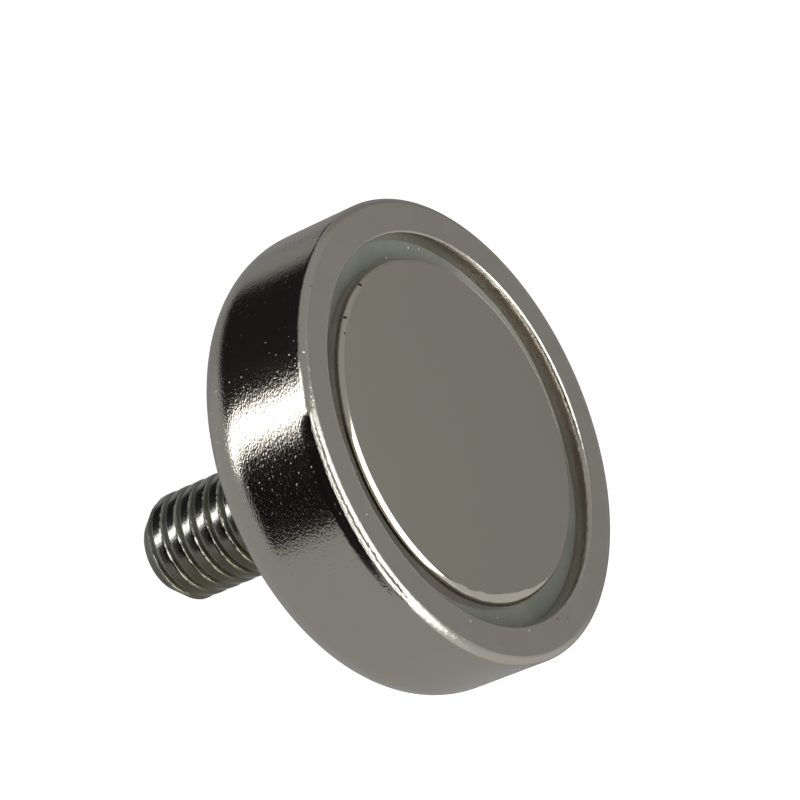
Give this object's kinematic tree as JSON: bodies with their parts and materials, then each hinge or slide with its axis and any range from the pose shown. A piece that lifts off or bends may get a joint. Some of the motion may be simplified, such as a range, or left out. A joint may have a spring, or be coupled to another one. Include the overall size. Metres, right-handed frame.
{
  "type": "pot magnet",
  "caption": "Round pot magnet: a plated steel cup around a flush disc magnet, with a threaded stud on the back for screwing it to a panel or bracket.",
  "frame": {"origin": "centre of the pot's back, where it seats on the panel and the stud leaves it", "axes": "+Z along the axis to the holding face; the stud points along -Z; the part is round about Z, so X and Y are free"},
  "size_m": [0.025, 0.025, 0.02],
  "materials": {
    "pot_plating": "bright nickel plate on turned steel, tumbled, slightly grainy",
    "magnet_plating": "smooth nickel plate on a pressed magnet",
    "epoxy": "glossy grey-green potting epoxy",
    "stud_plating": "bright nickel plate on rolled steel thread"
  },
  "bodies": {
    "root": {"pot": "pot_plating", "magnet": "magnet_plating", "epoxy_ring": "epoxy", "stud": "stud_plating"}
  },
  "joints": []
}
